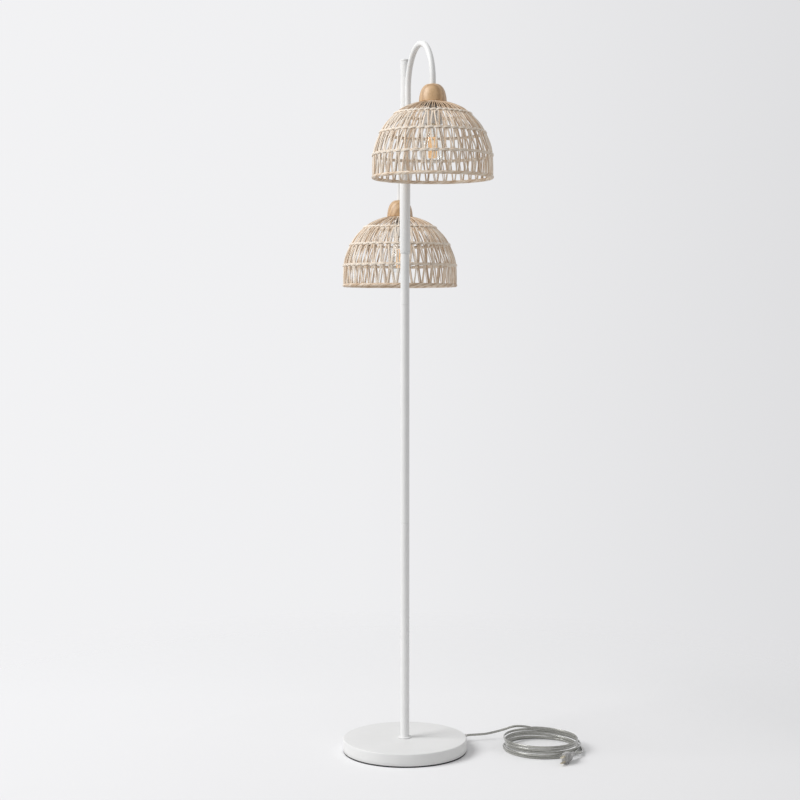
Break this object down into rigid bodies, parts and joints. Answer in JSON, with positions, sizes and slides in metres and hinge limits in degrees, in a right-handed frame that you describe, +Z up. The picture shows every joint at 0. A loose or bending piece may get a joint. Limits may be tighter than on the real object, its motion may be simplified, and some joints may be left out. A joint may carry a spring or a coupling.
{
  "type": "rattan floor lamp",
  "caption": "Floor lamp with a round base, a white pole, two swivelling cane-shaped arms and woven rattan dome shades, and a coiled supply cord.",
  "frame": {"origin": "centre of the base pad's underside, on the floor", "axes": "+Z up along the pole, -Y towards the side that the picture shows, +X to its right"},
  "size_m": [0.5478, 0.56, 1.5801],
  "materials": {
    "white_enamel": "satin white powder coat",
    "cast_iron": "rough casting, hidden inside the base",
    "black_foam": "matt black foam rubber",
    "zinc_steel": "zinc-plated steel",
    "brass": "bare brass",
    "oak": "light turned wood, oiled",
    "rattan": "natural woven cane, unvarnished",
    "white_plastic": "white moulded plastic",
    "clear_glass": "clear glass",
    "amber_glow": "amber filament",
    "cord_clear": "clear sheath over tinned wire, silver grey",
    "plug_clear": "clear moulded plastic"
  },
  "bodies": {
    "stand": {"base_pad": "black_foam", "base_cover": "white_enamel", "base_weight": "cast_iron", "base_washer": "zinc_steel", "base_nut": "zinc_steel", "base_stem": "zinc_steel", "terminal_block": "white_plastic", "cord_grommet": "white_plastic", "pole_lower": "white_enamel", "pole_middle": "white_enamel", "pole_upper": "white_enamel", "joiner_lower": "zinc_steel", "joiner_upper": "zinc_steel", "pole_foot_insert": "zinc_steel", "pole_foot_ring": "white_enamel", "pole_cap": "white_enamel", "swivel_ring_lower": "white_enamel", "swivel_ring_upper": "white_enamel", "cord_lead": "cord_clear", "cord_coil": "cord_clear", "cord_tail": "cord_clear", "plug_body": "plug_clear", "plug_pin_upper": "brass", "plug_pin_lower": "brass"},
    "upper_head": {"upper_arm": "white_enamel", "upper_cap": "oak", "upper_nipple": "zinc_steel", "upper_shade_plate": "zinc_steel", "upper_shade": "rattan", "upper_shade_rim": "rattan", "upper_lamp_holder": "white_plastic", "upper_socket_contact": "brass", "upper_bulb_base": "zinc_steel", "upper_bulb_glass": "clear_glass", "upper_bulb_stem": "clear_glass", "upper_filament": "amber_glow"},
    "upper_switch": {"upper_switch_knob": "white_plastic"},
    "lower_head": {"lower_arm": "white_enamel", "lower_cap": "oak", "lower_nipple": "zinc_steel", "lower_shade_plate": "zinc_steel", "lower_shade": "rattan", "lower_shade_rim": "rattan", "lower_lamp_holder": "white_plastic", "lower_socket_contact": "brass", "lower_bulb_base": "zinc_steel", "lower_bulb_glass": "clear_glass", "lower_bulb_stem": "clear_glass", "lower_filament": "amber_glow"},
    "lower_switch": {"lower_switch_knob": "white_plastic"}
  },
  "joints": [
    {"name": "upper_arm_swivel", "type": "hinge", "parent": "stand", "child": "upper_head", "pos_m": [0, 0, 1.3897], "axis": [0, 0, 1], "range_deg": [-45, 45]},
    {"name": "upper_switch_turn", "type": "hinge", "parent": "upper_head", "child": "upper_switch", "pos_m": [0.06444, -0.15634, 1.4097], "axis": [0.3811, -0.9245, 0], "continuous": true},
    {"name": "lower_arm_swivel", "type": "hinge", "parent": "stand", "child": "lower_head", "pos_m": [0, 0, 1.1653], "axis": [0, 0, 1], "range_deg": [-45, 45]},
    {"name": "lower_switch_turn", "type": "hinge", "parent": "lower_head", "child": "lower_switch", "pos_m": [-0.01238, 0.16865, 1.1853], "axis": [-0.0732, 0.9973, 0], "continuous": true}
  ]
}
